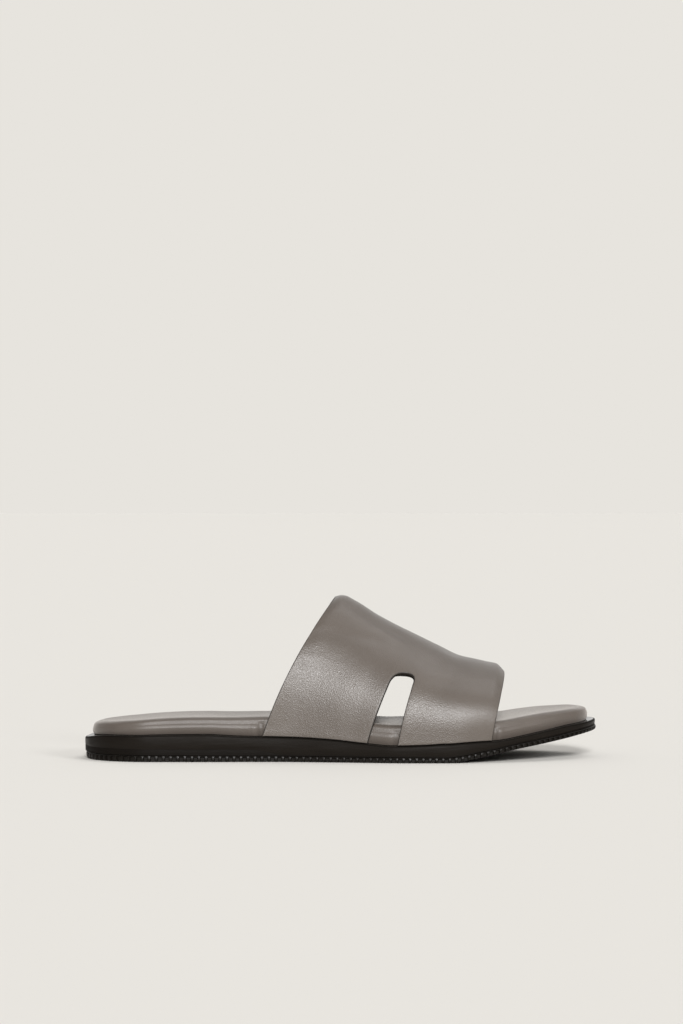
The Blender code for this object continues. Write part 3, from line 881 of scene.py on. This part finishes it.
def make_sole_body(side_rubber, lift_and_edge_shade_rubber, rim_highlight_rubber):
    """Midsole and heel lift as one moulded body, with the lift's line as a fine groove."""
    turns = ring_turns(SOLE_STATIONS)
    frames = [edge_frame(turn, side) for turn, side in turns]
    insets = [sole_inset(turn) for turn, _ in turns]
    rows = []

    def row(inset, height):
        ring = []
        for (point, direction), base_inset in zip(frames, insets):
            p = point + direction * (base_inset + inset)
            ring.append(Vector((p.x, p.y, height(p.x))))
        rows.append(ring)

    def base(x):
        return sole_bottom(x) + outsole_thick(x) + CLEARANCE

    def line(x):
        return base(x) + max(lift_height(x), LIFT_LINE_LOWEST)

    row(LIFT_FOOT_INSET, base)
    row(LIFT_BAND_INSET, lambda x: line(x) - LIFT_LINE_HALF)
    row(LIFT_LINE_DEPTH, line)
    row(0.0, lambda x: line(x) + LIFT_LINE_HALF)
    lift_rows = len(rows) - 2
    row(0.0, lambda x: (line(x) + sole_top(x)) / 2.0)
    steps = MIDSOLE_EDGE_STEPS
    for step in range(steps + 1):
        angle = math.pi / 2.0 * step / steps
        inset = MIDSOLE_EDGE_RADIUS * (1.0 - math.cos(angle))
        drop = MIDSOLE_EDGE_RADIUS * (1.0 - math.sin(angle))
        row(inset, lambda x, d=drop: sole_top(x) - d)
    verts = [v for ring in rows for v in ring]
    count = len(frames)
    rings = [list(range(k * count, (k + 1) * count)) for k in range(len(rows))]
    cap = cap_faces(rings[0], upward=False)
    bands = band_faces(rings)
    faces = cap + bands + cap_faces(rings[-1], upward=True)
    lift_faces, edge_faces = lift_rows * count, steps * count
    # Kind 1, the darker rubber on the lift's band and on the midsole's rounded top edge, is painted shade
    kinds = [0] * len(cap) + [1] * lift_faces
    kinds += [0] * (len(bands) - lift_faces - edge_faces) + [1] * edge_faces
    # Kind 2 on the top cap is the lighter, glossier rubber: its lighter colour is a painted highlight
    kinds += [2] * (len(faces) - len(kinds))
    rubbers = [side_rubber, lift_and_edge_shade_rubber, rim_highlight_rubber]
    replaced = ("midsole", "heel_lift")
    return add_piece("sole_body", verts, faces, rubbers, replaced, kinds, sharp=45.0)


def rib_wave(phase):
    """Depth share of the rib gaps at a phase: 1 in a gap, 0 on a rib, with soft flanks."""
    half = 0.5 * RIB_GAP / ((RIB_PITCH_HEEL + RIB_PITCH_TOE) / 2.0)
    off = abs(phase - round(phase))
    return 1.0 - smooth_step(half - RIB_FLANK, half + RIB_FLANK, off)


# Upper part of the tread's edge, over its rounded foot
TREAD_BAND = (
    # share of the thickness, height above that, inset on a rib, inset in a gap
    (1.0, -RIB_BAND - 0.0004, 0.0, RIB_DEPTH),
    (1.0, -RIB_BAND - 0.0001, 0.0001, RIB_DEPTH * 0.7),
    (1.0, -RIB_BAND + 0.0001, 0.0002, 0.0003),
    (1.0, -0.0001, 0.0002, 0.0002),
    (1.0, 0.0, 0.0003, 0.0003),
)


def tread_ring():
    """Points round the tread's edge with their inward direction and depth share, even in rib pitches."""
    samples = ring_turns(OUTLINE_SAMPLES // 2)
    frames = []
    for turn, side in samples:
        point, inward = edge_frame(turn, side)
        frames.append((point + inward * tread_inset(turn), inward))
    phases = [0.0]
    for (here, _), (there, _) in zip(frames, frames[1:] + frames[:1]):
        pitch = RIB_PITCH_HEEL + (RIB_PITCH_TOE - RIB_PITCH_HEEL) * along_of(here.x)
        phases.append(phases[-1] + (there - here).length / pitch)
    gaps = round(phases[-1])
    total = gaps * RIB_SAMPLES
    scale = phases[-1] / gaps
    picked, at = [], 0
    for k in range(total):
        phase = k / RIB_SAMPLES
        while phases[at + 1] < phase * scale:
            at += 1
        t = (phase * scale - phases[at]) / (phases[at + 1] - phases[at])
        here, inward = frames[at]
        there, inward_next = frames[(at + 1) % len(frames)]
        picked.append((here.lerp(there, t), inward.lerp(inward_next, t).normalized(), rib_wave(phase)))
    return picked


def make_tread(tread_rubber):
    """Outsole with its ribbed edge."""
    picked = tread_ring()
    rows = []
    for step in range(OUTSOLE_EDGE_STEPS + 1):
        angle = math.pi / 2.0 * step / OUTSOLE_EDGE_STEPS
        inset = OUTSOLE_EDGE_RADIUS * (1.0 - math.sin(angle))
        rise = OUTSOLE_EDGE_RADIUS * (1.0 - math.cos(angle))
        rows.append((0.0, rise, inset, max(inset, RIB_DEPTH)))
    rows += TREAD_BAND
    verts, rings = [], []
    for share, height, on_rib, in_gap in rows:
        ring = []
        for point, inward, depth in picked:
            p = point + inward * (on_rib + (in_gap - on_rib) * depth)
            ring.append(len(verts))
            verts.append(Vector((p.x, p.y, sole_bottom(p.x) + share * outsole_thick(p.x) + height)))
        rings.append(ring)
    faces = cap_faces(rings[0], upward=False) + band_faces(rings) + cap_faces(rings[-1], upward=True)
    return add_piece("tread", verts, faces, [tread_rubber], ("outsole",), sharp=35.0)


# Floor, light and camera


def make_floor():
    """Wide plain floor."""
    corners = [(x * FLOOR_REACH, y * FLOOR_REACH, 0) for x, y in ((-1, -1), (1, -1), (1, 1), (-1, 1))]
    data = bpy.data.meshes.new("floor")
    data.from_pydata(corners, [], [(0, 1, 2, 3)])
    floor = bpy.data.objects.new("floor", data)
    bpy.context.scene.collection.objects.link(floor)
    n = Nodes("floor")
    n.shader.inputs["Base Color"].default_value = rgba(FLOOR_COLOUR)
    n.shader.inputs["Roughness"].default_value = 0.9
    n.shader.inputs["Specular IOR Level"].default_value = 0.0
    data.materials.append(n.material)


def add_sun(name, strength, azimuth, elevation, angle):
    """Soft distant light."""
    light = bpy.data.lights.new(name, "SUN")
    light.energy = strength
    light.angle = math.radians(angle)
    lamp = bpy.data.objects.new(name, light)
    a, e = math.radians(azimuth), math.radians(elevation)
    source = Vector((math.sin(a) * math.cos(e), -math.cos(a) * math.cos(e), math.sin(e)))
    lamp.rotation_euler = (-source).to_track_quat("-Z", "Y").to_euler()
    bpy.context.scene.collection.objects.link(lamp)


def make_world():
    """Pale surroundings for the camera, and a studio dome that is dark low down for the light."""
    world = bpy.data.worlds.new("studio")
    bpy.context.scene.world = world
    world.use_nodes = True
    tree = world.node_tree
    tree.nodes.clear()
    out = tree.nodes.new("ShaderNodeOutputWorld")
    mix = tree.nodes.new("ShaderNodeMixShader")
    seen = tree.nodes.new("ShaderNodeBackground")
    seen.inputs["Color"].default_value = rgba(BACKGROUND)
    dome = tree.nodes.new("ShaderNodeBackground")
    path = tree.nodes.new("ShaderNodeLightPath")
    coord = tree.nodes.new("ShaderNodeTexCoord")
    ramp = tree.nodes.new("ShaderNodeValToRGB")
    toward = tree.nodes.new("ShaderNodeVectorMath")
    toward.operation = "DOT_PRODUCT"
    toward.inputs[1].default_value = DOME_AXIS
    span = tree.nodes.new("ShaderNodeMapRange")
    span.inputs["From Min"].default_value = -1.0
    tree.links.new(coord.outputs["Generated"], toward.inputs[0])
    tree.links.new(toward.outputs["Value"], span.inputs["Value"])
    tree.links.new(span.outputs["Result"], ramp.inputs["Fac"])
    tree.links.new(ramp.outputs["Color"], dome.inputs["Color"])
    stops = ramp.color_ramp.elements
    stops[0].position, stops[0].color = DOME_STOPS[0][0], rgba(DOME_STOPS[0][1])
    stops[1].position, stops[1].color = DOME_STOPS[-1][0], rgba(DOME_STOPS[-1][1])
    for place, colour in DOME_STOPS[1:-1]:
        stops.new(place).color = rgba(colour)
    dome.inputs["Strength"].default_value = DOME_STRENGTH
    tree.links.new(path.outputs["Is Camera Ray"], mix.inputs[0])
    tree.links.new(dome.outputs[0], mix.inputs[1])
    tree.links.new(seen.outputs[0], mix.inputs[2])
    tree.links.new(mix.outputs[0], out.inputs[0])


def make_camera():
    lens = bpy.data.cameras.new("camera")
    lens.lens = CAMERA_LENS
    lens.sensor_width = CAMERA_SENSOR
    lens.clip_end = CAMERA_REACH
    camera = bpy.data.objects.new("camera", lens)
    camera.location = (0.0, -CAMERA_DISTANCE, CAMERA_HEIGHT)
    camera.rotation_euler = (math.pi / 2.0, 0.0, 0.0)
    bpy.context.scene.collection.objects.link(camera)
    bpy.context.scene.camera = camera


def main():
    make_camera()
    strap_leather, lining, cover = [leather(*row) for row in LEATHERS]
    paint = edge_paint("edge paint")
    side_rubber, lift_and_edge_shade_rubber, rim_highlight_rubber, tread_rubber = [rubber(*row) for row in RUBBERS]
    make_strap(strap_leather, lining, paint)
    make_footbed(cover)
    make_sole_body(side_rubber, lift_and_edge_shade_rubber, rim_highlight_rubber)
    make_tread(tread_rubber)
    make_floor()
    make_world()
    for row in SUNS:
        add_sun(*row)
    bpy.context.scene.view_settings.view_transform = "Standard"
    bpy.context.scene.view_settings.look = "None"


main()
